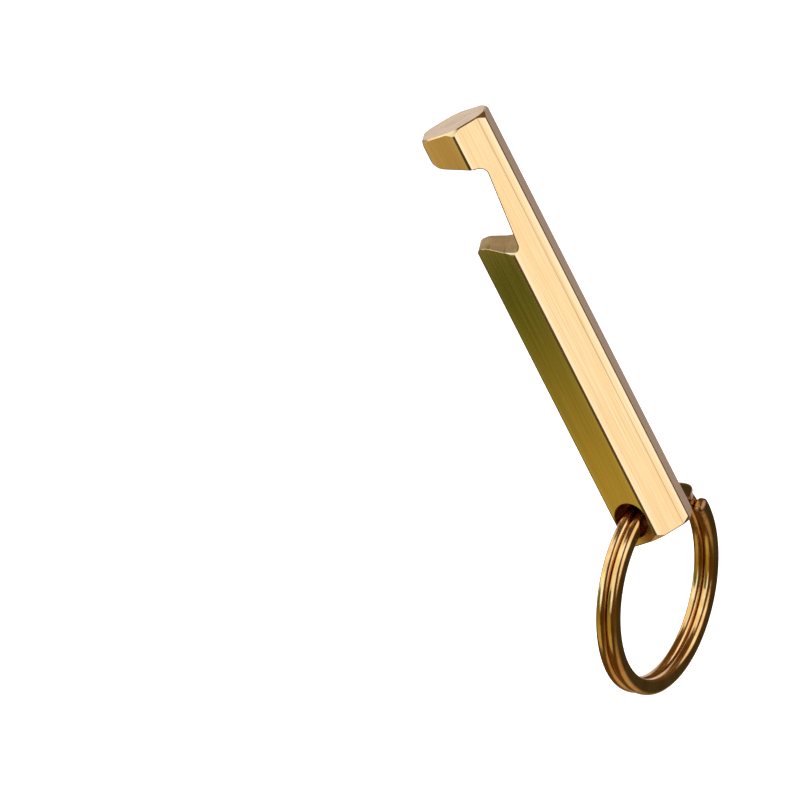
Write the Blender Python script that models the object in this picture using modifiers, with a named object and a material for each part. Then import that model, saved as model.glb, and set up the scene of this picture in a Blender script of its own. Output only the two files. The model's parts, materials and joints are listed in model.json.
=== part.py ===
"""Keychain bottle opener: a hexagonal brass bar with a claw notch, and a split ring through it.

The bar stands on its ring end, with its length along +Z and the centre of the ring-end face at
the origin. The notch opens towards -X. The split ring hangs from the cross hole near z = 0 and
swings about that hole's axis.
"""

import math

import bmesh
import bpy
from mathutils import Matrix, Vector

MM = 0.001
OBJECT_NAME = "keychain_bottle_opener"

# Bar
BAR_LENGTH = 53.0 * MM
ACROSS_FLATS = 8.0 * MM
LONG_EDGE_ROUND = 0.22 * MM
END_EDGE_BREAK = 0.15 * MM
EDGE_SEGMENTS = 3
HEX_SIDES = 6

# Turned chamfer that takes the six corners off each end of the bar
CHAMFER_FACE_RADIUS = 4.12 * MM
CHAMFER_OUTER_RADIUS = 5.0 * MM
CHAMFER_DEPTH = 1.15 * MM
CHAMFER_STEPS = 96

# Notch outline in the XZ plane: (x, z, corner radius) in mm, from the nose round to the claw
NOTCH_OUTLINE_MM = (
    (-7.0, 51.8, 0.0),
    (-4.02, 51.8, 0.0),
    (-4.02, 49.46, 1.8),
    (1.55, 47.42, 1.1),
    (0.78, 36.98, 0.6),
    (-0.9, 37.68, 2.5),
    (-2.7, 38.78, 1.5),
    (-4.02, 38.98, 0.6),
    (-4.02, 36.0, 0.0),
    (-7.0, 36.0, 0.0),
)
NOTCH_CUT_WIDTH = 14.0 * MM
FILLET_STEPS = 8

# Cross hole through the two flats whose normals lie 60 degrees from +X
HOLE_DIAMETER = 4.25 * MM
HOLE_HEIGHT = 3.1 * MM
HOLE_BEARING = math.radians(60.0)
HOLE_CUT_LENGTH = 14.0 * MM
HOLE_STEPS = 64

# Split ring
RING_OUTER_DIAMETER = 24.7 * MM
WIRE_RADIAL = 1.9 * MM
WIRE_AXIAL = 1.31 * MM
WIRE_CORNER_POWER = 3.0
WIRE_SIDES = 20
COIL_GAP = 0.08 * MM
RING_DROP = 10.9 * MM
RING_SLIDE = 0.65 * MM
RING_REST_SWING = math.radians(26.4)
RING_SKEW = math.radians(0.6)
CROSSOVER_START = math.radians(393.0)
CROSSOVER_END = math.radians(414.0)
CROSSOVER_CLEARANCE = math.radians(1.5)
TURN_STEPS = 78

SMOOTH_ANGLE = math.radians(30.0)
BRASS_COLOUR = (0.83, 0.61, 0.27, 1.0)
RING_COLOUR = (0.62, 0.42, 0.16, 1.0)


def clear_scene():
    """Remove every object that the scene holds."""
    for obj in list(bpy.data.objects):
        bpy.data.objects.remove(obj, do_unlink=True)


def make_collection(name):
    """Return a new collection linked to the scene."""
    collection = bpy.data.collections.new(name)
    bpy.context.scene.collection.children.link(collection)
    return collection


def make_metal(name, colour, roughness):
    """Return a bare metal Principled material."""
    material = bpy.data.materials.new(name)
    material.use_nodes = True
    shader = material.node_tree.nodes["Principled BSDF"]
    shader.inputs["Base Color"].default_value = colour
    shader.inputs["Metallic"].default_value = 1.0
    shader.inputs["Roughness"].default_value = roughness
    return material


def add_mesh_object(name, bm, collection):
    """Turn a bmesh into an object whose faces all point outwards."""
    bmesh.ops.recalc_face_normals(bm, faces=bm.faces[:])
    mesh = bpy.data.meshes.new(name)
    bm.to_mesh(mesh)
    bm.free()
    obj = bpy.data.objects.new(name, mesh)
    collection.objects.link(obj)
    return obj


def mark_cutter(obj):
    """Show a cutter as a wire only."""
    obj.hide_render = True
    obj.display_type = "WIRE"


def add_boolean(target, cutter, operation):
    """Combine a cutter with a target by an exact Boolean."""
    modifier = target.modifiers.new(cutter.name, "BOOLEAN")
    modifier.operation = operation
    modifier.solver = "EXACT"
    modifier.object = cutter


def shade_by_angle(obj):
    """Shade smooth, with creases kept sharp."""
    obj.data.shade_smooth()
    obj.data.set_sharp_from_angle(angle=SMOOTH_ANGLE)


def apply_modifiers(obj):
    """Replace the object's mesh by its evaluated one."""
    depsgraph = bpy.context.evaluated_depsgraph_get()
    mesh = bpy.data.meshes.new_from_object(obj.evaluated_get(depsgraph))
    obj.modifiers.clear()
    obj.data = mesh


def corner_arc(before, corner, after, radius):
    """Return the points of a fillet of the given radius between two straight sides."""
    to_before = (before - corner).normalized()
    to_after = (after - corner).normalized()
    half = to_before.angle(to_after) / 2.0
    run = radius / math.tan(half)
    middle = corner + (to_before + to_after).normalized() * (radius / math.sin(half))
    start = corner + to_before * run - middle
    turn = math.copysign(math.pi - 2.0 * half, start.cross(corner + to_after * run - middle))
    steps = range(FILLET_STEPS + 1)
    return [middle + Matrix.Rotation(turn * i / FILLET_STEPS, 2) @ start for i in steps]


def rounded_outline(corners_mm):
    """Return the outline's points in metres, with each corner rounded by its own radius."""
    corners = [(Vector((x, z)) * MM, radius * MM) for x, z, radius in corners_mm]
    outline = []
    for i, (corner, radius) in enumerate(corners):
        before, after = corners[i - 1][0], corners[(i + 1) % len(corners)][0]
        outline += corner_arc(before, corner, after, radius) if radius else [corner]
    return outline


def make_notch_cutter(collection):
    """Make the prism, long in Y, that mills the claw notch."""
    bm = bmesh.new()
    half = NOTCH_CUT_WIDTH / 2.0
    loop = [bm.verts.new((point.x, -half, point.y)) for point in rounded_outline(NOTCH_OUTLINE_MM)]
    face = bm.faces.new(loop)
    grown = bmesh.ops.extrude_face_region(bm, geom=[face])
    moved = [item for item in grown["geom"] if isinstance(item, bmesh.types.BMVert)]
    bmesh.ops.translate(bm, vec=(0.0, NOTCH_CUT_WIDTH, 0.0), verts=moved)
    cutter = add_mesh_object("notch_cutter", bm, collection)
    mark_cutter(cutter)
    return cutter


def make_hole_cutter(collection):
    """Make the cylinder that drills the cross hole."""
    bm = bmesh.new()
    lay_down = Matrix.Rotation(math.pi / 2.0, 4, "Y")
    radius = HOLE_DIAMETER / 2.0
    bmesh.ops.create_cone(bm, cap_ends=True, segments=HOLE_STEPS, radius1=radius, radius2=radius,
                          depth=HOLE_CUT_LENGTH, matrix=lay_down)
    cutter = add_mesh_object("hole_cutter", bm, collection)
    cutter.location = (0.0, 0.0, HOLE_HEIGHT)
    cutter.rotation_euler = (0.0, 0.0, HOLE_BEARING)
    mark_cutter(cutter)
    return cutter


def make_turned_blank(collection):
    """Make the turned solid whose coned ends chamfer the corners of the bar."""
    profile = (
        (0.0, BAR_LENGTH + END_EDGE_BREAK),
        (CHAMFER_FACE_RADIUS - END_EDGE_BREAK, BAR_LENGTH + END_EDGE_BREAK),
        (CHAMFER_OUTER_RADIUS, BAR_LENGTH - CHAMFER_DEPTH),
        (CHAMFER_OUTER_RADIUS, CHAMFER_DEPTH),
        (CHAMFER_FACE_RADIUS - END_EDGE_BREAK, -END_EDGE_BREAK),
        (0.0, -END_EDGE_BREAK),
    )
    bm = bmesh.new()
    verts = [bm.verts.new((x, 0.0, z)) for x, z in profile]
    for first, second in zip(verts, verts[1:]):
        bm.edges.new((first, second))
    blank = add_mesh_object("turned_blank", bm, collection)
    screw = blank.modifiers.new("Turn", "SCREW")
    screw.steps = screw.render_steps = CHAMFER_STEPS
    screw.use_merge_vertices = True
    screw.merge_threshold = 0.00001
    mark_cutter(blank)
    return blank


def bevel_bar_edges(bm):
    """Round the six long edges, then break the edges of both end faces."""
    long_edges = [e for e in bm.edges if abs(e.verts[0].co.z - e.verts[1].co.z) > ACROSS_FLATS]
    bmesh.ops.bevel(bm, geom=long_edges, offset=LONG_EDGE_ROUND, segments=EDGE_SEGMENTS,
                    profile=0.5, affect="EDGES")
    end_edges = [e for e in bm.edges if all(len(f.verts) > HEX_SIDES for f in e.link_faces[:1])
                 or all(len(f.verts) > HEX_SIDES for f in e.link_faces[1:])]
    bmesh.ops.bevel(bm, geom=end_edges, offset=END_EDGE_BREAK, segments=2, profile=0.5,
                    affect="EDGES")


def make_bar(collection, cutters):
    """Make the hexagonal bar with its chamfered ends, notch and cross hole."""
    bm = bmesh.new()
    radius = ACROSS_FLATS / 2.0 / math.cos(math.pi / HEX_SIDES)
    place = Matrix.Translation((0.0, 0.0, BAR_LENGTH / 2.0))
    bmesh.ops.create_cone(bm, cap_ends=True, segments=HEX_SIDES, radius1=radius, radius2=radius,
                          depth=BAR_LENGTH, matrix=place)
    bevel_bar_edges(bm)
    bar = add_mesh_object("opener_bar", bm, collection)
    add_boolean(bar, make_turned_blank(cutters), "INTERSECT")
    add_boolean(bar, make_notch_cutter(cutters), "DIFFERENCE")
    add_boolean(bar, make_hole_cutter(cutters), "DIFFERENCE")
    apply_modifiers(bar)
    bar.data.materials.clear()
    bar.data.materials.append(make_metal("bar_brass", BRASS_COLOUR, 0.35))
    shade_by_angle(bar)
    return bar


def coil_level(angle):
    """Return -1 on the first coil, +1 on the second, and a smooth step on the crossover."""
    share = (angle - CROSSOVER_START) / (CROSSOVER_END - CROSSOVER_START)
    share = min(max(share, 0.0), 1.0)
    return 2.0 * share * share * (3.0 - 2.0 * share) - 1.0


def ring_path():
    """Return the wire's centre line, two turns about Z, one coil above the other."""
    radius = (RING_OUTER_DIAMETER - WIRE_RADIAL) / 2.0
    lift = (WIRE_AXIAL + COIL_GAP) / 2.0
    first = CROSSOVER_END - math.tau + CROSSOVER_CLEARANCE
    last = CROSSOVER_START + math.tau - CROSSOVER_CLEARANCE
    count = round((last - first) / math.tau * TURN_STEPS)
    angles = [first + (last - first) * i / count for i in range(count + 1)]
    return [(radius * math.cos(a), radius * math.sin(a), lift * coil_level(a)) for a in angles]


def wire_section():
    """Return the wire's section, a squared-off oval, as (radial, axial) points."""
    points = []
    for i in range(WIRE_SIDES):
        turn = math.tau * (i + 0.5) / WIRE_SIDES
        across, along = math.cos(turn), math.sin(turn)
        size = (abs(across) ** WIRE_CORNER_POWER + abs(along) ** WIRE_CORNER_POWER) ** (
            -1.0 / WIRE_CORNER_POWER)
        points.append((across * size * WIRE_RADIAL / 2.0, along * size * WIRE_AXIAL / 2.0, 0.0))
    return points


def make_poly_curve(name, points, closed, collection):
    """Make a 3D curve object that joins the points with straight lines."""
    curve = bpy.data.curves.new(name, "CURVE")
    curve.dimensions = "3D"
    spline = curve.splines.new("POLY")
    spline.points.add(len(points) - 1)
    spline.use_cyclic_u = closed
    for point, position in zip(spline.points, points):
        point.co = (*position, 1.0)
    obj = bpy.data.objects.new(name, curve)
    collection.objects.link(obj)
    return obj


def make_ring(collection, cutters):
    """Sweep the wire's section along two turns, then hang the ring from the cross hole at rest."""
    section = make_poly_curve("wire_section", wire_section(), True, cutters)
    wire = make_poly_curve("ring_wire", ring_path(), False, cutters)
    wire.data.twist_mode = "Z_UP"
    wire.data.bevel_mode = "OBJECT"
    wire.data.bevel_object = section
    wire.data.use_fill_caps = True
    depsgraph = bpy.context.evaluated_depsgraph_get()
    coil = bpy.data.meshes.new_from_object(wire.evaluated_get(depsgraph))
    for curve in (wire, section):
        bpy.data.objects.remove(curve, do_unlink=True)
    bm = bmesh.new()
    bm.from_mesh(coil)
    bmesh.ops.remove_doubles(bm, verts=bm.verts[:], dist=0.001 * MM)
    bmesh.ops.transform(bm, matrix=hang_matrix(), verts=bm.verts[:])
    ring = add_mesh_object("split_ring", bm, collection)
    ring.location = (0.0, 0.0, HOLE_HEIGHT)
    ring.rotation_euler = (RING_REST_SWING, 0.0, HOLE_BEARING)
    ring.data.materials.append(make_metal("ring_brass", RING_COLOUR, 0.22))
    shade_by_angle(ring)
    return ring


def hang_matrix():
    """Return the move from the ring's own frame, axis Z, to hanging below the hinge axis, local X."""
    upright = Matrix(((0.0, 1.0, 0.0, 0.0), (0.0, 0.0, 1.0, 0.0), (1.0, 0.0, 0.0, 0.0),
                      (0.0, 0.0, 0.0, 1.0)))
    skew = Matrix.Rotation(RING_SKEW, 4, "Z")
    return skew @ Matrix.Translation((RING_SLIDE, 0.0, -RING_DROP)) @ upright


def main():
    """Build the bar and the ring."""
    clear_scene()
    parts = make_collection(OBJECT_NAME)
    cutters = make_collection("cutters")
    make_bar(parts, cutters)
    make_ring(parts, cutters)


main()
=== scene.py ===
"""Looks for the keychain bottle opener: a brushed brass hexagonal bar and a polished split ring."""
import json
import math

import bmesh
import bpy
import numpy as np
from mathutils import Matrix, Vector


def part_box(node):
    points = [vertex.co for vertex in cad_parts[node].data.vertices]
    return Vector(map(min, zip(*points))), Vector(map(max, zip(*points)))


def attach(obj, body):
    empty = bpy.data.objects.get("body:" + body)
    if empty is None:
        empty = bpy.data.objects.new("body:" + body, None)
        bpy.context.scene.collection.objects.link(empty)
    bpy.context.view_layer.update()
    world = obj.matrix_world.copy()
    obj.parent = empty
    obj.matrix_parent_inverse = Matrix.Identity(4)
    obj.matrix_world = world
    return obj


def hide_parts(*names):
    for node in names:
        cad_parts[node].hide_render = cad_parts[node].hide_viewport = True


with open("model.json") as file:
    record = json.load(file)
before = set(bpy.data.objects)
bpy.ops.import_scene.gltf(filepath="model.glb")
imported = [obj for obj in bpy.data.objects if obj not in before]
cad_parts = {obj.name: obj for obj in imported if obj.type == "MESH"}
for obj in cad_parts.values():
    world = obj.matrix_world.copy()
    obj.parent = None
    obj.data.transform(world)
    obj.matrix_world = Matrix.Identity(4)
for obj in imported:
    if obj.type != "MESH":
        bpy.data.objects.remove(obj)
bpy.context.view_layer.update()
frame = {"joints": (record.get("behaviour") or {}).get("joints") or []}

MM = 0.001

# Bar, in the row frame: it stands on its ring end, and the notch opens towards -X
HEX_SIDES = 6
LONG_EDGE_ROUND = 0.22 * MM
LONG_EDGE_SEGMENTS = 6
END_EDGE_BREAK = 0.15 * MM
CHAMFER_FACE_RADIUS = 4.12 * MM
CHAMFER_OUTER_RADIUS = 5.0 * MM
CHAMFER_DEPTH = 1.15 * MM
CHAMFER_STEPS = 240
AXIS_MERGE = 0.00001 * MM
NOTCH_OUTLINE_MM = (
    (-7.0, 51.8, 0.0),
    (-4.02, 51.8, 0.0),
    (-4.02, 49.46, 1.8),
    (1.55, 47.42, 1.1),
    (0.78, 36.98, 0.6),
    (-0.9, 37.68, 2.5),
    (-2.7, 38.78, 1.5),
    (-4.02, 38.98, 0.6),
    (-4.02, 36.0, 0.0),
    (-7.0, 36.0, 0.0),
)
NOTCH_CUT_WIDTH = 14.0 * MM
FILLET_STEPS = 20
HOLE_DIAMETER = 4.25 * MM
HOLE_MOUTH_FLARE = 0.12 * MM
HOLE_FLARE_STEPS = 6
HOLE_CUT_LENGTH = 14.0 * MM
HOLE_STEPS = 128
NOTCH_EDGE_BREAK = 0.13 * MM
NOTCH_EDGE_SEGMENTS = 2
NOTCH_BREAK_START = -3.4 * MM
MERGE_DISTANCE = 0.002 * MM
SMOOTH_ANGLE = math.radians(26.0)
FLAT_FACE_WEIGHT = 100
END_FACE_TILT = 0.5

# Plane that breaks the lip's corner on the long edge at +Y, and mirrored at -Y: three of its points
CORNER_BREAK_MM = ((-1.1, 4.007, 37.85), (0.0, 4.608, 36.8), (0.25, 4.498, 37.2))
CORNER_BLOCK = 3.0 * MM

# Split ring, hung below the hinge axis
RING_OUTER_DIAMETER = 24.7 * MM
WIRE_RADIAL = 1.9 * MM
WIRE_AXIAL = 1.34 * MM
WIRE_CORNER_POWER = 2.8
COIL_GAP = 0.03 * MM
RING_DROP = 10.9 * MM
RING_SLIDE = 0.65 * MM
RING_REST_SWING = math.radians(26.4)
RING_SKEW = math.radians(0.6)
CROSSOVER_START = math.radians(393.0)
CROSSOVER_END = math.radians(414.0)
CROSSOVER_CLEARANCE = math.radians(1.5)
RING_STEPS = 620
WIRE_SIDES = 40
WIRE_END_ROUND = 0.58 * MM
WIRE_END_STEPS = 9
WIRE_SHARP_ANGLE = math.radians(50.0)
RING_WORN_REACH = 5.5 * MM

# Camera
VIEW_AZIMUTH = math.radians(10.0)
VIEW_ELEVATION = math.radians(11.6)
VIEW_ROLL = math.radians(27.04)
VIEW_WIDTH = 91.1 * MM
VIEW_LENS = 1200.0
VIEW_SENSOR = 36.0
VIEW_CLIP = (0.01, 20.0)
BAR_RIGHT_OF_CENTRE = 29.68 * MM
BAR_BELOW_CENTRE = 14.75 * MM

# Colours
BRASS_LIGHT = (0.84, 0.63, 0.35)
BRASS_DEEP = (0.70, 0.49, 0.23)
BRASS_WARM = (0.78, 0.52, 0.24)
# Painted highlight: paler brass for the strip beside the long edges
BRASS_PAINTED_SHEEN = (0.90, 0.74, 0.50)
# Dark brown of the die line, and of the painted shade on the long edges and along the burrs
SHADE_AND_DIE_LINE_BROWN = (0.16, 0.08, 0.03)
# Painted shade of the notch's recess: the two dark browns of its walls
NOTCH_SHADE_BROWN = (0.30, 0.18, 0.05)
NOTCH_SHADE_GOLD = (0.46, 0.32, 0.10)
NOTCH_GLANCING = (0.95, 0.84, 0.66)
# Painted shade inside the cross hole: the two dark browns of its wall
HOLE_SHADE_BROWN = (0.48, 0.20, 0.06)
HOLE_SHADE_GOLD = (0.70, 0.42, 0.14)
RING_DEEP = (0.66, 0.39, 0.15)
RING_LIGHT = (0.79, 0.54, 0.25)
RING_WORN = (0.36, 0.20, 0.10)

# Painted highlight: a paler strip on the flats beside the long edges, by distance from the bar's
# axis
PAINTED_SHEEN_START = 4.22 * MM
PAINTED_SHEEN_FULL = 4.56 * MM
PAINTED_SHEEN_SHARE = 0.55

# Painted shade: a ragged dark line on the two rounded long edges near X = 0, by distance from the
# bar's axis
EDGE_SHADE_START = 4.57 * MM
EDGE_SHADE_FULL = 4.60 * MM
EDGE_SHADE_RAGGED = 0.05 * MM
EDGE_SHADE_HALF = 0.8 * MM
EDGE_SHADE_DARK = 0.85
EDGE_SHADE_ROUGH = 0.08

# Painted shade of a burr: dark specks on the notch edges, more of them from the corner of the bar
# towards +X
BURR_SHADE_START = 0.1 * MM
BURR_SHADE_FULL = 0.6 * MM
BURR_SHADE_SHIFT = 0.16

# Faint line left by the drawing die on the flat that faces +X and -Y
DIE_LINE_ACROSS = (0.866025, 0.5, 0.0)
DIE_LINE_FLAT = (0.5, -0.866025, 0.0)
DIE_LINE_PLACE = 1.3 * MM
DIE_LINE_HALF = 0.12 * MM
DIE_LINE_FACING = 0.9
DIE_LINE_DARK = 0.42
DIE_LINE_DEPTH = -0.8

# Grain of each metal, in cycles per metre along X, Y and Z, or along one distance
DRAWN_LINES = (9000.0, 9000.0, 90.0)
DRAWN_HAIR = (26000.0, 26000.0, 300.0)
DRAWN_CLOUD = (420.0, 420.0, 120.0)
TURNED_RINGS = 16000.0
TURNED_CLOUD = (500.0, 500.0, 500.0)
MILLED_MARKS = (7000.0, 500.0, 7000.0)
MILLED_MOTTLE = (260.0, 260.0, 260.0)
DRILLED_RINGS = 9000.0
DRILLED_MOTTLE = (900.0, 900.0, 900.0)
EDGE_SPECKS = (3200.0, 3200.0, 3200.0)
RING_PATCHES = 260.0
RING_MOTTLE = (340.0, 340.0, 340.0)
RING_FINE = (700.0, 700.0, 700.0)
FINE_DETAIL = 3.0
PLAIN_DETAIL = 2.0
GRAIN_ROUGHNESS = 0.55

# Noise values between which one colour of a metal gives way to the next
DRAWN_LINES_TURN = (0.34, 0.66)
DRAWN_CLOUD_TURN = (0.35, 0.70)
TURNED_CLOUD_TURN = (0.35, 0.70)
MILLED_MOTTLE_TURN = (0.25, 0.70)
DRILLED_MOTTLE_TURN = (0.35, 0.65)
EDGE_SPECKS_TURN = (0.44, 0.54)
RING_COLOUR_TURN = (0.40, 0.62)
RING_WORN_TURN = (0.38, 0.60)

# How strongly the warm clouds, the fine hair, the ring's patches and its worn ends show
DRAWN_CLOUD_SHARE = 0.35
DRAWN_HAIR_SHARE = 0.35
RING_PATCHES_SHARE = 0.5
RING_WORN_LEAST = 0.45
RING_WORN_ROUGH = 0.25

# Finish of each metal: least roughness, how much the grain adds to it, and depth of the grain
DRAWN_FINISH = (0.16, 0.12, 0.004 * MM)
TURNED_FINISH = (0.22, 0.12, 0.0012 * MM)
MILLED_FINISH = (0.22, 0.20, 0.006 * MM)
DRILLED_FINISH = (0.24, 0.20, 0.006 * MM)
EDGE_FINISH = (0.18, 0.20, 0.008 * MM)
RING_FINISH = (0.08, 0.12, 0.02 * MM)

# Studio: soft boxes as azimuth, elevation, inner and outer half angle in degrees, and colour
ROOM_COLOUR = (0.13, 0.065, 0.015)
PLAIN_WHITE = (1.0, 1.0, 1.0)
SOFT_BOXES = (
    (45.0, -38.0, 16.0, 40.0, (0.064, 0.052, 0.024)),
    (60.0, -88.0, 15.0, 42.0, (0.54, 0.38, 0.20)),
    (-120.0, -32.0, 15.0, 34.0, (0.07, 0.06, 0.012)),
    (150.0, 35.0, 16.0, 38.0, (0.45, 0.42, 0.30)),
    (95.0, -30.0, 8.0, 24.0, (0.58, 0.51, 0.45)),
    (97.0, 18.0, 14.0, 34.0, (0.79, 0.75, 0.81)),
    (82.0, -10.0, 8.0, 17.0, (0.42, 0.35, 0.34)),
    (-160.0, -11.5, 12.0, 22.0, (0.58, 0.45, 0.19)),
    (178.0, 50.0, 16.0, 30.0, (1.50, 1.45, 1.35)),
    (-134.0, 28.0, 12.0, 28.0, (1.38, 1.70, 1.90)),
    (-118.0, 59.0, 9.0, 21.0, (1.35, 1.50, 1.55)),
    (-28.0, 6.0, 26.0, 42.0, (1.39, 1.37, 1.40)),
)

# Card that only shows in the metal: height on the bar, azimuth, elevation, distance, width,
# height, lower and upper colour
DARK_CARD = (19.5 * MM, -160.0, -11.5, 64.0 * MM, 48.0 * MM, 54.0 * MM,
             (0.50, 0.40, 0.07), (0.056, 0.094, 0.0))
CARD_SOFTNESS = 0.14
CARD_TURN = (0.20, 0.85)

LAMP_PLACE = (-0.25, -0.15, 0.6)
LAMP_SIZE = 0.45
LAMP_POWER = 2.5

FLOOR_HEIGHT = -21.5 * MM
FLOOR_SIZE = 12.0
FLOOR_COLOUR = (0.9, 0.9, 0.9)
FLOOR_ROUGHNESS = 0.9
FLOOR_GLOW = 0.5

hinge = frame["joints"][0]
hinge_point = Vector(hinge["pos_m"])
hinge_axis = Vector(hinge["axis"]).normalized()
hinge_bearing = math.atan2(hinge_axis.y, hinge_axis.x)
bar_low, bar_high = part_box("opener_bar")
bar_length = bar_high.z - bar_low.z
across_flats = bar_high.x - bar_low.x


def add_mesh_object(name, bm):
    """Turn a bmesh into an object whose faces point outwards."""
    bmesh.ops.recalc_face_normals(bm, faces=bm.faces[:])
    mesh = bpy.data.meshes.new(name)
    bm.to_mesh(mesh)
    bm.free()
    obj = bpy.data.objects.new(name, mesh)
    bpy.context.scene.collection.objects.link(obj)
    return obj


def corner_arc(before, corner, after, radius):
    """Return the points of a fillet of the given radius between two straight sides."""
    to_before = (before - corner).normalized()
    to_after = (after - corner).normalized()
    half = to_before.angle(to_after) / 2.0
    run = radius / math.tan(half)
    middle = corner + (to_before + to_after).normalized() * (radius / math.sin(half))
    start = corner + to_before * run - middle
    turn = math.copysign(math.pi - 2.0 * half, start.cross(corner + to_after * run - middle))
    steps = range(FILLET_STEPS + 1)
    return [middle + Matrix.Rotation(turn * i / FILLET_STEPS, 2) @ start for i in steps]


def rounded_outline(corners_mm):
    """Return the outline's points in metres, with each corner rounded by its own radius."""
    corners = [(Vector((x, z)) * MM, radius * MM) for x, z, radius in corners_mm]
    outline = []
    for i, (corner, radius) in enumerate(corners):
        before, after = corners[i - 1][0], corners[(i + 1) % len(corners)][0]
        outline += corner_arc(before, corner, after, radius) if radius else [corner]
    return outline


def turned_solid(name, profile, steps):
    """Return a solid of revolution about Z from a profile of (radius, height) points."""
    bm = bmesh.new()
    verts = [bm.verts.new((x, 0.0, z)) for x, z in profile]
    for first, second in zip(verts, verts[1:]):
        bm.edges.new((first, second))
    bmesh.ops.spin(bm, geom=bm.verts[:] + bm.edges[:], cent=(0, 0, 0), axis=(0, 0, 1),
                   angle=math.tau, steps=steps, use_merge=True)
    bmesh.ops.remove_doubles(bm, verts=bm.verts[:], dist=AXIS_MERGE)
    return add_mesh_object(name, bm)


def make_notch_cutter():
    """Make the prism, long in Y, that mills the claw notch."""
    bm = bmesh.new()
    half = NOTCH_CUT_WIDTH / 2.0
    loop = [bm.verts.new((p.x, -half, p.y)) for p in rounded_outline(NOTCH_OUTLINE_MM)]
    grown = bmesh.ops.extrude_face_region(bm, geom=[bm.faces.new(loop)])
    moved = [item for item in grown["geom"] if isinstance(item, bmesh.types.BMVert)]
    bmesh.ops.translate(bm, vec=(0.0, NOTCH_CUT_WIDTH, 0.0), verts=moved)
    return add_mesh_object("notch_cutter", bm)


def make_hole_cutter():
    """Make the turned cutter that drills the cross hole and flares both its mouths."""
    radius, half, mouth = HOLE_DIAMETER / 2.0, HOLE_CUT_LENGTH / 2.0, across_flats / 2.0
    flare = []
    for i in range(HOLE_FLARE_STEPS + 1):
        turn = math.pi / 2.0 * i / HOLE_FLARE_STEPS
        flare.append((radius + HOLE_MOUTH_FLARE * (1.0 - math.cos(turn)),
                      mouth - HOLE_MOUTH_FLARE * (1.0 - math.sin(turn))))
    flare.append((radius + HOLE_MOUTH_FLARE, half))
    upper = flare + [(0.0, half)]
    lower = [(r, -z) for r, z in reversed(upper)]
    cutter = turned_solid("hole_cutter", lower + upper, HOLE_STEPS)
    turn = Vector((0, 0, 1)).rotation_difference(hinge_axis).to_matrix().to_4x4()
    cutter.matrix_world = Matrix.Translation(hinge_point) @ turn
    return cutter


def make_turned_blank():
    """Make the turned solid whose coned ends chamfer the corners of the bar."""
    top, face = bar_high.z + END_EDGE_BREAK, CHAMFER_FACE_RADIUS - END_EDGE_BREAK
    profile = (
        (0.0, -END_EDGE_BREAK),
        (face, -END_EDGE_BREAK),
        (CHAMFER_OUTER_RADIUS, CHAMFER_DEPTH),
        (CHAMFER_OUTER_RADIUS, bar_high.z - CHAMFER_DEPTH),
        (face, top),
        (0.0, top),
    )
    return turned_solid("turned_blank", profile, CHAMFER_STEPS)


def cut(target, cutter, operation, material):
    """Combine a cutter with a target by an exact Boolean; the cut faces take the material."""
    cutter.data.materials.append(material)
    modifier = target.modifiers.new(cutter.name, "BOOLEAN")
    modifier.operation = operation
    modifier.solver = "EXACT"
    modifier.material_mode = "TRANSFER"
    modifier.object = cutter
    apply_modifiers(target)
    bpy.data.objects.remove(cutter, do_unlink=True)


def apply_modifiers(obj):
    """Replace the object's mesh by its evaluated one."""
    depsgraph = bpy.context.evaluated_depsgraph_get()
    mesh = bpy.data.meshes.new_from_object(obj.evaluated_get(depsgraph))
    obj.modifiers.clear()
    obj.data = mesh


def face_ends(bar):
    """Give the flat end faces the turned finish."""
    turned = bar.data.materials.find("turned_brass")
    low, high = bar_low.z + END_EDGE_BREAK, bar_high.z - END_EDGE_BREAK
    for face in bar.data.polygons:
        if abs(face.normal.z) > END_FACE_TILT and not low < face.center.z < high:
            face.material_index = turned


def clean(bm):
    """Merge points that fall together and drop faces without area."""
    bmesh.ops.remove_doubles(bm, verts=bm.verts[:], dist=MERGE_DISTANCE)
    bmesh.ops.dissolve_degenerate(bm, edges=bm.edges[:], dist=MERGE_DISTANCE)


def change_mesh(obj, change):
    """Run a change on an object's mesh in place."""
    bm = bmesh.new()
    bm.from_mesh(obj.data)
    change(bm)
    bm.to_mesh(obj.data)
    bm.free()


def is_notch_rim(edge, drawn, milled):
    """Tell whether an edge is between the notch and a flat, and clear of the notch's open side."""
    sides = {face.material_index for face in edge.link_faces}
    return sides == {drawn, milled} and min(v.co.x for v in edge.verts) > NOTCH_BREAK_START


def break_notch_edges(bar):
    """Break the edges where the notch meets the flats of the bar."""
    names = ("drawn_brass", "milled_brass", "edge_brass")
    drawn, milled, worn = (bar.data.materials.find(name) for name in names)

    def bevel_rim(bm):
        clean(bm)
        rim = [edge for edge in bm.edges if is_notch_rim(edge, drawn, milled)]
        bmesh.ops.bevel(bm, geom=rim, offset=NOTCH_EDGE_BREAK, segments=NOTCH_EDGE_SEGMENTS,
                        profile=0.5, affect="EDGES", clamp_overlap=False, material=worn)

    change_mesh(bar, bevel_rim)


def make_corner_cutter(side):
    """Make the block that breaks the lip's corner on the bar's long edge, at -Y or +Y."""
    low, middle, high = (Vector((x, y * side, z)) * MM for x, y, z in CORNER_BREAK_MM)
    outward = (low - middle).cross(high - middle).normalized()
    outward *= math.copysign(1.0, outward.y * side)
    bm = bmesh.new()
    place = (Matrix.Translation(middle + outward * CORNER_BLOCK / 2.0)
             @ outward.to_track_quat("Z", "Y").to_matrix().to_4x4())
    bmesh.ops.create_cube(bm, size=CORNER_BLOCK, matrix=place)
    return add_mesh_object("corner_cutter", bm)


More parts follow.
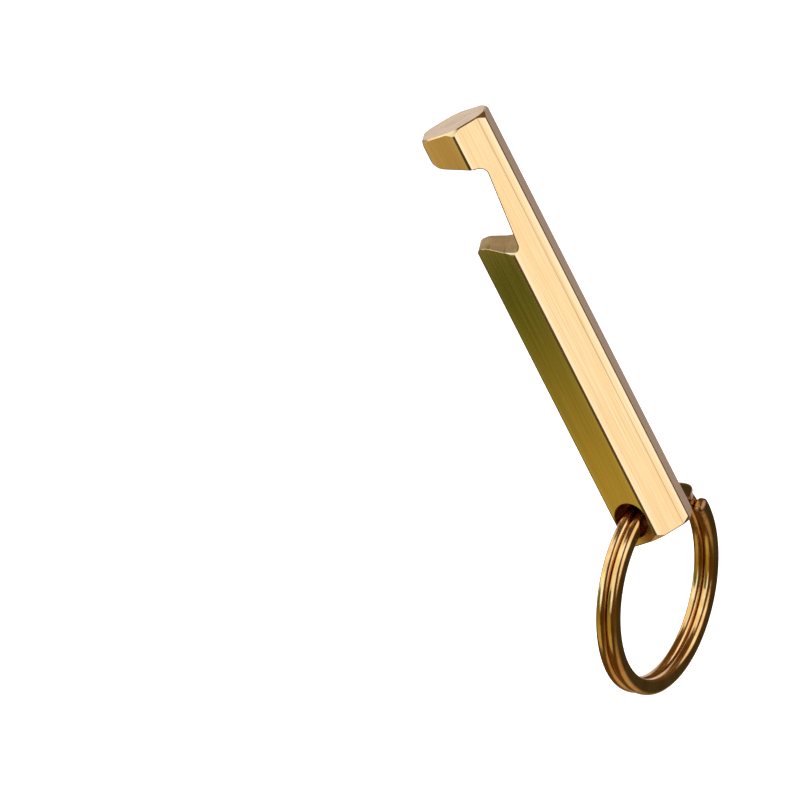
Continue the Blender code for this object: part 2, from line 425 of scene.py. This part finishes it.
def make_hexagon():
    """Make the plain hexagonal bar, with its long edges rounded and its end edges broken."""
    bm = bmesh.new()
    radius = across_flats / 2.0 / math.cos(math.pi / HEX_SIDES)
    place = Matrix.Translation((0.0, 0.0, bar_low.z + bar_length / 2.0))
    bmesh.ops.create_cone(bm, cap_ends=True, segments=HEX_SIDES, radius1=radius, radius2=radius,
                          depth=bar_length, matrix=place)
    long_edges = [e for e in bm.edges if abs(e.verts[0].co.z - e.verts[1].co.z) > across_flats]
    bmesh.ops.bevel(bm, geom=long_edges, offset=LONG_EDGE_ROUND, segments=LONG_EDGE_SEGMENTS,
                    profile=0.5, affect="EDGES")
    rims = [e for e in bm.edges if any(len(f.verts) > HEX_SIDES for f in e.link_faces)]
    bmesh.ops.bevel(bm, geom=rims, offset=END_EDGE_BREAK, segments=1, profile=0.5, affect="EDGES")
    return add_mesh_object("brass_bar", bm)


def smooth_bar(bar):
    """Shade the rounded edges smooth and keep the flats flat."""
    bar.data.shade_smooth()
    bar.data.set_sharp_from_angle(angle=SMOOTH_ANGLE)
    weighted = bar.modifiers.new("face normals", "WEIGHTED_NORMAL")
    weighted.keep_sharp = True
    weighted.weight = FLAT_FACE_WEIGHT
    apply_modifiers(bar)


def make_bar():
    """Make the bar with chamfered ends, notch, cross hole and broken edges."""
    bar = make_hexagon()
    bar.data.materials.append(make_drawn_brass())
    cut(bar, make_turned_blank(), "INTERSECT", make_turned_brass())
    cut(bar, make_notch_cutter(), "DIFFERENCE", make_milled_brass())
    edge_brass = make_edge_brass()
    bar.data.materials.append(edge_brass)
    for side in (-1.0, 1.0):
        cut(bar, make_corner_cutter(side), "DIFFERENCE", edge_brass)
    break_notch_edges(bar)
    cut(bar, make_hole_cutter(), "DIFFERENCE", make_drilled_brass())
    change_mesh(bar, clean)
    face_ends(bar)
    smooth_bar(bar)
    return bar


def end_packed_arc(length):
    """Return arc lengths along the wire, evenly spaced but closer together at the rounded ends."""
    even = np.linspace(WIRE_END_ROUND, length - WIRE_END_ROUND, RING_STEPS + 1)
    turn = np.linspace(0.0, math.pi / 2.0, WIRE_END_STEPS, endpoint=False)
    start = WIRE_END_ROUND * (1.0 - np.cos(turn))
    return np.concatenate([start, even, length - start[::-1]])


def ring_frames():
    """Return the wire's centre points, outward and sideways directions, and arc lengths."""
    radius = (RING_OUTER_DIAMETER - WIRE_RADIAL) / 2.0
    lift = (WIRE_AXIAL + COIL_GAP) / 2.0
    first = CROSSOVER_END - math.tau + CROSSOVER_CLEARANCE
    last = CROSSOVER_START + math.tau - CROSSOVER_CLEARANCE
    arc = end_packed_arc((last - first) * radius)
    angle = first + arc / radius
    share = np.clip((angle - CROSSOVER_START) / (CROSSOVER_END - CROSSOVER_START), 0.0, 1.0)
    level = lift * (2.0 * share * share * (3.0 - 2.0 * share) - 1.0)
    outward = np.stack([np.sin(angle), np.zeros_like(angle), np.cos(angle)], 1)
    centre = np.array([RING_SLIDE, 0.0, -RING_DROP]) + radius * outward
    centre[:, 1] += level
    tangent = np.gradient(centre, arc, axis=0)
    sideways = np.cross(tangent, outward)
    sideways /= np.linalg.norm(sideways, axis=1)[:, None]
    return centre, outward, sideways, arc


def wire_section():
    """Return the wire's section, a squared-off oval, as radial and axial offsets."""
    turn = np.arange(WIRE_SIDES) * math.tau / WIRE_SIDES
    across, along = np.cos(turn), np.sin(turn)
    power = WIRE_CORNER_POWER
    size = (np.abs(across) ** power + np.abs(along) ** power) ** (-1.0 / power)
    return across * size * WIRE_RADIAL / 2.0, along * size * WIRE_AXIAL / 2.0


def wire_shrink(distance_to_end):
    """Return how far the section draws in near a cut end, so that the end is rounded."""
    depth = np.clip(1.0 - distance_to_end / WIRE_END_ROUND, 0.0, 1.0)
    return WIRE_END_ROUND * (1.0 - np.sqrt(1.0 - depth * depth))


def make_ring():
    """Loft the wire's section along two turns, with rounded cut ends, and hang it at rest."""
    centre, outward, sideways, arc = ring_frames()
    radial, axial = wire_section()
    length = np.hypot(radial, axial)
    bm = bmesh.new()
    travel = bm.verts.layers.float.new("travel")
    from_end = bm.verts.layers.float.new("from_end")
    loops = []
    for i, distance in enumerate(arc):
        to_end = min(distance, arc[-1] - distance)
        keep = 1.0 - wire_shrink(to_end) / length
        spots = centre[i] + np.outer(radial * keep, outward[i])
        spots += np.outer(axial * keep, sideways[i])
        loops.append([bm.verts.new(spot) for spot in spots])
        for vert in loops[-1]:
            vert[travel] = distance
            vert[from_end] = to_end
    for one, two in zip(loops, loops[1:]):
        for j in range(WIRE_SIDES):
            k = (j + 1) % WIRE_SIDES
            bm.faces.new((one[j], one[k], two[k], two[j]))
    bm.faces.new(loops[0])
    bm.faces.new(loops[-1])
    ring = add_mesh_object("key_ring", bm)
    hang = (Matrix.Translation(hinge_point) @ Matrix.Rotation(hinge_bearing, 4, "Z")
            @ Matrix.Rotation(RING_REST_SWING, 4, "X") @ Matrix.Rotation(RING_SKEW, 4, "Z"))
    ring.data.transform(hang)
    ring.data.shade_smooth()
    ring.data.set_sharp_from_angle(angle=WIRE_SHARP_ANGLE)
    return ring


def add(tree, kind, inputs=(), **settings):
    """Add a node, set its properties, and set or link its inputs by name or number."""
    node = tree.nodes.new(kind)
    for name, value in settings.items():
        setattr(node, name, value)
    for key, value in dict(inputs).items():
        if isinstance(value, bpy.types.NodeSocket):
            tree.links.new(value, node.inputs[key])
        else:
            node.inputs[key].default_value = value
    return node


def calc(tree, operation, first, second=0.0, third=0.0):
    """Return the output of a Math node."""
    node = add(tree, "ShaderNodeMath", {0: first, 1: second, 2: third}, operation=operation)
    return node.outputs[0]


def remap(tree, value, low, high, to_low=0.0, to_high=1.0):
    """Return a value moved smoothly from one range to another."""
    node = add(tree, "ShaderNodeMapRange",
               {"Value": value, "From Min": low, "From Max": high, "To Min": to_low,
                "To Max": to_high}, interpolation_type="SMOOTHSTEP")
    return node.outputs["Result"]


def dot(tree, vector, axis):
    """Return the distance of a vector along an axis."""
    node = add(tree, "ShaderNodeVectorMath", {0: vector, 1: tuple(axis)}, operation="DOT_PRODUCT")
    return node.outputs["Value"]


def blend(tree, share, first, second):
    """Return a mix of two colours."""
    node = add(tree, "ShaderNodeMix", data_type="RGBA")
    for socket, value in ((0, share), (6, first), (7, second)):
        if isinstance(value, bpy.types.NodeSocket):
            tree.links.new(value, node.inputs[socket])
        else:
            node.inputs[socket].default_value = value if socket == 0 else (*value, 1.0)
    return node.outputs[2]


def grain(tree, coord, scale, detail=FINE_DETAIL):
    """Return noise stretched by its own scale along each axis, in cycles per metre."""
    stretched = add(tree, "ShaderNodeVectorMath", {0: coord, 1: scale}, operation="MULTIPLY")
    noise = add(tree, "ShaderNodeTexNoise", {"Vector": stretched.outputs[0], "Scale": 1.0,
                                             "Detail": detail, "Roughness": GRAIN_ROUGHNESS})
    return noise.outputs["Fac"]


def streak(tree, distance, scale, detail=PLAIN_DETAIL):
    """Return noise that varies along one distance only, in cycles per metre."""
    noise = add(tree, "ShaderNodeTexNoise",
                {"W": calc(tree, "MULTIPLY", distance, scale), "Scale": 1.0, "Detail": detail},
                noise_dimensions="1D")
    return noise.outputs["Fac"]


def from_axis(tree, coord):
    """Return the distance from the Z axis."""
    flat = add(tree, "ShaderNodeVectorMath", {0: coord, 1: (1.0, 1.0, 0.0)}, operation="MULTIPLY")
    length = add(tree, "ShaderNodeVectorMath", {0: flat.outputs[0]}, operation="LENGTH")
    return length.outputs["Value"]


def new_metal(name):
    """Return a new metal material, its node tree, its shader and the object coordinate."""
    material = bpy.data.materials.new(name)
    material.use_nodes = True
    tree = material.node_tree
    shader = tree.nodes["Principled BSDF"]
    shader.inputs["Metallic"].default_value = 1.0
    return material, tree, shader, add(tree, "ShaderNodeTexCoord").outputs["Object"]


def roughen(tree, noise, finish):
    """Return the roughness that a noise gives a metal of this finish."""
    least, spread, _ = finish
    return calc(tree, "MULTIPLY_ADD", noise, spread, least)


def finish_metal(tree, shader, colour, roughness, height, finish):
    """Link a colour, a roughness and the height of the grain to a shader."""
    tree.links.new(colour, shader.inputs["Base Color"])
    tree.links.new(roughness, shader.inputs["Roughness"])
    bump = add(tree, "ShaderNodeBump", {"Height": height, "Distance": finish[-1], "Strength": 1.0})
    tree.links.new(bump.outputs[0], shader.inputs["Normal"])


def painted_edge_shade(tree, coord, hair):
    """Return where the ragged dark line of painted shade runs on the rounded long edges near X = 0.
    """
    ragged = calc(tree, "MULTIPLY_ADD", hair, EDGE_SHADE_RAGGED, from_axis(tree, coord))
    line = remap(tree, ragged, EDGE_SHADE_START, EDGE_SHADE_FULL)
    off_edge = calc(tree, "ABSOLUTE", dot(tree, coord, (1.0, 0.0, 0.0)))
    return calc(tree, "MULTIPLY", line, calc(tree, "LESS_THAN", off_edge, EDGE_SHADE_HALF))


def line_from_die(tree, coord):
    """Return where the line left by the drawing die runs along its one flat."""
    across = dot(tree, coord, DIE_LINE_ACROSS)
    offset = calc(tree, "ABSOLUTE", calc(tree, "SUBTRACT", across, DIE_LINE_PLACE))
    line = remap(tree, offset, 0.0, DIE_LINE_HALF, 1.0, 0.0)
    normal = add(tree, "ShaderNodeNewGeometry").outputs["True Normal"]
    on_flat = calc(tree, "GREATER_THAN", dot(tree, normal, DIE_LINE_FLAT), DIE_LINE_FACING)
    return calc(tree, "MULTIPLY", line, on_flat)


def make_drawn_brass():
    """Satin brass of the flats: fine lines drawn along the bar, a die line, painted shade on the
    long edges and a painted highlight beside them.
    """
    material, tree, shader, coord = new_metal("drawn_brass")
    lines = grain(tree, coord, DRAWN_LINES)
    hair = grain(tree, coord, DRAWN_HAIR, PLAIN_DETAIL)
    cloud = grain(tree, coord, DRAWN_CLOUD, PLAIN_DETAIL)
    # Painted highlight: a paler strip on the flats beside the long edges
    pale = remap(tree, from_axis(tree, coord), PAINTED_SHEEN_START, PAINTED_SHEEN_FULL, 0.0, PAINTED_SHEEN_SHARE)
    # Painted shade: the dark line on the rounded long edges
    edge = painted_edge_shade(tree, coord, hair)
    die_line = line_from_die(tree, coord)
    colour = blend(tree, remap(tree, lines, *DRAWN_LINES_TURN), BRASS_DEEP, BRASS_LIGHT)
    warm = remap(tree, cloud, *DRAWN_CLOUD_TURN, 0.0, DRAWN_CLOUD_SHARE)
    colour = blend(tree, warm, colour, BRASS_WARM)
    colour = blend(tree, pale, colour, BRASS_PAINTED_SHEEN)
    colour = blend(tree, calc(tree, "MULTIPLY", edge, EDGE_SHADE_DARK), colour, SHADE_AND_DIE_LINE_BROWN)
    colour = blend(tree, calc(tree, "MULTIPLY", die_line, DIE_LINE_DARK), colour, SHADE_AND_DIE_LINE_BROWN)
    roughness = roughen(tree, lines, DRAWN_FINISH)
    roughness = calc(tree, "MULTIPLY_ADD", edge, EDGE_SHADE_ROUGH, roughness)
    height = calc(tree, "MULTIPLY_ADD", hair, DRAWN_HAIR_SHARE, lines)
    height = calc(tree, "MULTIPLY_ADD", die_line, DIE_LINE_DEPTH, height)
    finish_metal(tree, shader, colour, roughness, height, DRAWN_FINISH)
    return material


def make_turned_brass():
    """Brass of the end faces and their chamfers, with faint rings from turning."""
    material, tree, shader, coord = new_metal("turned_brass")
    rings = streak(tree, from_axis(tree, coord), TURNED_RINGS)
    cloud = grain(tree, coord, TURNED_CLOUD, PLAIN_DETAIL)
    colour = blend(tree, remap(tree, cloud, *TURNED_CLOUD_TURN), BRASS_LIGHT, BRASS_DEEP)
    roughness = roughen(tree, rings, TURNED_FINISH)
    finish_metal(tree, shader, colour, roughness, rings, TURNED_FINISH)
    return material


def make_milled_brass():
    """Brass of the notch walls: marks from the cutter across the bar, mottled between two dark
    browns that are painted shade of the recess.
    """
    material, tree, shader, coord = new_metal("milled_brass")
    marks = grain(tree, coord, MILLED_MARKS)
    mottle = grain(tree, coord, MILLED_MOTTLE, PLAIN_DETAIL)
    # Painted shade: the walls are mottled between two dark browns that stand for the recess's shade
    colour = blend(tree, remap(tree, mottle, *MILLED_MOTTLE_TURN), NOTCH_SHADE_BROWN, NOTCH_SHADE_GOLD)
    roughness = roughen(tree, marks, MILLED_FINISH)
    finish_metal(tree, shader, colour, roughness, marks, MILLED_FINISH)
    shader.inputs["Specular Tint"].default_value = (*NOTCH_GLANCING, 1.0)
    return material


def make_drilled_brass():
    """Brass of the cross hole, darkened as painted shade inside it, with rings left by the drill.
    """
    material, tree, shader, coord = new_metal("drilled_brass")
    rings = streak(tree, dot(tree, coord, hinge_axis), DRILLED_RINGS)
    mottle = grain(tree, coord, DRILLED_MOTTLE)
    # Painted shade: the hole's wall is mottled between two dark browns
    colour = blend(tree, remap(tree, mottle, *DRILLED_MOTTLE_TURN), HOLE_SHADE_BROWN, HOLE_SHADE_GOLD)
    roughness = roughen(tree, rings, DRILLED_FINISH)
    finish_metal(tree, shader, colour, roughness, rings, DRILLED_FINISH)
    return material


def make_edge_brass():
    """Broken edges of the cuts: bright worn metal with dark ragged specks, painted as the shade of
    a burr.
    """
    material, tree, shader, coord = new_metal("edge_brass")
    specks = grain(tree, coord, EDGE_SPECKS, PLAIN_DETAIL)
    # Painted shade: dark specks of the burr, more of them further from the corner towards +X
    inward = dot(tree, coord, (1.0, 0.0, 0.0))
    shift = remap(tree, inward, BURR_SHADE_START, BURR_SHADE_FULL, BURR_SHADE_SHIFT, -BURR_SHADE_SHIFT)
    bright = remap(tree, calc(tree, "ADD", specks, shift), *EDGE_SPECKS_TURN)
    colour = blend(tree, bright, SHADE_AND_DIE_LINE_BROWN, BRASS_LIGHT)
    roughness = roughen(tree, specks, EDGE_FINISH)
    finish_metal(tree, shader, colour, roughness, specks, EDGE_FINISH)
    return material


def make_ring_brass():
    """Polished, darkened brass wire with patches of tarnish, duller towards its cut ends."""
    material, tree, shader, coord = new_metal("ring_brass")
    travel = add(tree, "ShaderNodeAttribute", attribute_name="travel").outputs["Fac"]
    to_end = add(tree, "ShaderNodeAttribute", attribute_name="from_end").outputs["Fac"]
    patches = streak(tree, travel, RING_PATCHES, FINE_DETAIL)
    mottle = grain(tree, coord, RING_MOTTLE)
    fine = grain(tree, coord, RING_FINE)
    share = calc(tree, "MULTIPLY", patches, RING_PATCHES_SHARE)
    share = calc(tree, "MULTIPLY_ADD", mottle, 1.0 - RING_PATCHES_SHARE, share)
    colour = blend(tree, remap(tree, share, *RING_COLOUR_TURN), RING_DEEP, RING_LIGHT)
    worn = calc(tree, "MULTIPLY", remap(tree, to_end, RING_WORN_REACH, 0.0),
                remap(tree, fine, *RING_WORN_TURN, RING_WORN_LEAST, 1.0))
    colour = blend(tree, worn, colour, RING_WORN)
    roughness = roughen(tree, mottle, RING_FINISH)
    roughness = calc(tree, "MULTIPLY_ADD", worn, RING_WORN_ROUGH, roughness)
    finish_metal(tree, shader, colour, roughness, fine, RING_FINISH)
    return material


def make_floor():
    """Make the plain pale floor. Seen from below it is clear, so that it hides nothing."""
    material = bpy.data.materials.new("pale_floor")
    material.use_nodes = True
    tree = material.node_tree
    shader = tree.nodes["Principled BSDF"]
    shader.inputs["Base Color"].default_value = (*FLOOR_COLOUR, 1.0)
    shader.inputs["Roughness"].default_value = FLOOR_ROUGHNESS
    shader.inputs["Specular IOR Level"].default_value = 0.0
    shader.inputs["Emission Color"].default_value = (*PLAIN_WHITE, 1.0)
    shader.inputs["Emission Strength"].default_value = FLOOR_GLOW
    behind = add(tree, "ShaderNodeNewGeometry").outputs["Backfacing"]
    clear = add(tree, "ShaderNodeBsdfTransparent").outputs[0]
    mixed = add(tree, "ShaderNodeMixShader", {0: behind, 1: shader.outputs[0], 2: clear})
    tree.links.new(mixed.outputs[0], tree.nodes["Material Output"].inputs["Surface"])
    bm = bmesh.new()
    bmesh.ops.create_grid(bm, x_segments=1, y_segments=1, size=FLOOR_SIZE / 2.0,
                          matrix=Matrix.Translation((0.0, 0.0, FLOOR_HEIGHT)))
    floor = add_mesh_object("floor", bm)
    floor.data.materials.append(material)
    floor.visible_glossy = False


def from_bearing(azimuth, elevation):
    """Return the unit vector at an azimuth from +X and an elevation, both in degrees."""
    turn, rise = math.radians(azimuth), math.radians(elevation)
    level = math.cos(rise)
    return Vector((math.cos(turn) * level, math.sin(turn) * level, math.sin(rise)))


def make_card(name, bar_height, azimuth, elevation, distance, width, height, low, high):
    """Make an upright soft-edged card, facing the bar, that only shows in reflections."""
    material = bpy.data.materials.new(name)
    material.use_nodes = True
    tree = material.node_tree
    tree.nodes.remove(tree.nodes["Principled BSDF"])
    place = add(tree, "ShaderNodeTexCoord").outputs["Generated"]
    split = add(tree, "ShaderNodeSeparateXYZ", {0: place})
    cover = 1.0
    for axis in (0, 1):
        off_middle = calc(tree, "ABSOLUTE", calc(tree, "SUBTRACT", split.outputs[axis], 0.5))
        inside = remap(tree, off_middle, 0.5 - CARD_SOFTNESS, 0.5, 1.0, 0.0)
        cover = calc(tree, "MULTIPLY", cover, inside)
    colour = blend(tree, remap(tree, split.outputs[1], *CARD_TURN), low, high)
    glow = add(tree, "ShaderNodeEmission", {0: colour, 1: 1.0}).outputs[0]
    clear = add(tree, "ShaderNodeBsdfTransparent").outputs[0]
    mixed = add(tree, "ShaderNodeMixShader", {0: cover, 1: clear, 2: glow})
    tree.links.new(mixed.outputs[0], tree.nodes["Material Output"].inputs["Surface"])
    bm = bmesh.new()
    bmesh.ops.create_grid(bm, x_segments=1, y_segments=1, size=0.5)
    bmesh.ops.scale(bm, vec=(width, height, 1.0), verts=bm.verts)
    card = add_mesh_object(name, bm)
    card.data.materials.append(material)
    away = from_bearing(azimuth, elevation)
    facing = (-from_bearing(azimuth, 0.0)).to_track_quat("Z", "Y").to_matrix().to_4x4()
    middle = Vector((0.0, 0.0, bar_height)) + away * distance
    card.matrix_world = Matrix.Translation(middle) @ facing
    for ray in ("camera", "diffuse", "transmission", "volume_scatter", "shadow"):
        setattr(card, "visible_" + ray, False)


def make_world():
    """Light the metal from soft boxes in a dim warm room; the floor sees plain white."""
    world = bpy.data.worlds.new("studio")
    bpy.context.scene.world = world
    world.use_nodes = True
    tree = world.node_tree
    toward = add(tree, "ShaderNodeTexCoord").outputs["Generated"]
    light = add(tree, "ShaderNodeRGB").outputs[0]
    light.default_value = (*ROOM_COLOUR, 1.0)
    for azimuth, elevation, inner, outer, colour in SOFT_BOXES:
        aimed = dot(tree, toward, from_bearing(azimuth, elevation))
        share = remap(tree, aimed, math.cos(math.radians(outer)), math.cos(math.radians(inner)))
        light = blend(tree, share, light, colour)
    path = add(tree, "ShaderNodeLightPath")
    light = blend(tree, path.outputs["Is Glossy Ray"], PLAIN_WHITE, light)
    tree.links.new(light, tree.nodes["Background"].inputs["Color"])


def make_lamp():
    """Make the one soft lamp, up on the left, that gives the floor its shadow."""
    data = bpy.data.lights.new("soft_lamp", "AREA")
    data.shape = "SQUARE"
    data.size = LAMP_SIZE
    data.energy = LAMP_POWER
    lamp = bpy.data.objects.new("soft_lamp", data)
    bpy.context.scene.collection.objects.link(lamp)
    lamp.location = LAMP_PLACE
    lamp.rotation_euler = (-Vector(LAMP_PLACE)).to_track_quat("-Z", "Y").to_euler()
    lamp.visible_glossy = False


def make_camera():
    """Make a long-lens camera at the viewing angle, rolled so that the bar leans to the left."""
    sin_a, cos_a = math.sin(VIEW_AZIMUTH), math.cos(VIEW_AZIMUTH)
    sin_e, cos_e = math.sin(VIEW_ELEVATION), math.cos(VIEW_ELEVATION)
    back = Vector((sin_a * cos_e, -cos_a * cos_e, sin_e))
    level = Vector((cos_a, sin_a, 0.0))
    raised = back.cross(level)
    right = level * math.cos(VIEW_ROLL) - raised * math.sin(VIEW_ROLL)
    up = level * math.sin(VIEW_ROLL) + raised * math.cos(VIEW_ROLL)
    target = Vector((0.0, 0.0, bar_low.z)) - right * BAR_RIGHT_OF_CENTRE + up * BAR_BELOW_CENTRE
    distance = VIEW_LENS * VIEW_WIDTH / VIEW_SENSOR
    data = bpy.data.cameras.new("camera")
    data.lens = VIEW_LENS
    data.sensor_width = VIEW_SENSOR
    data.clip_start, data.clip_end = VIEW_CLIP
    camera = bpy.data.objects.new("camera", data)
    bpy.context.scene.collection.objects.link(camera)
    turn = Matrix((right, up, back)).transposed().to_4x4()
    camera.matrix_world = Matrix.Translation(target + back * distance) @ turn
    bpy.context.scene.camera = camera


bar = make_bar()
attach(bar, "bar")
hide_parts("opener_bar")

ring = make_ring()
ring.data.materials.append(make_ring_brass())
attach(ring, "ring")
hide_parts("split_ring")

make_floor()
make_world()
make_card("dark_card", *DARK_CARD)
make_lamp()
make_camera()
bpy.context.scene.view_settings.view_transform = "Standard"
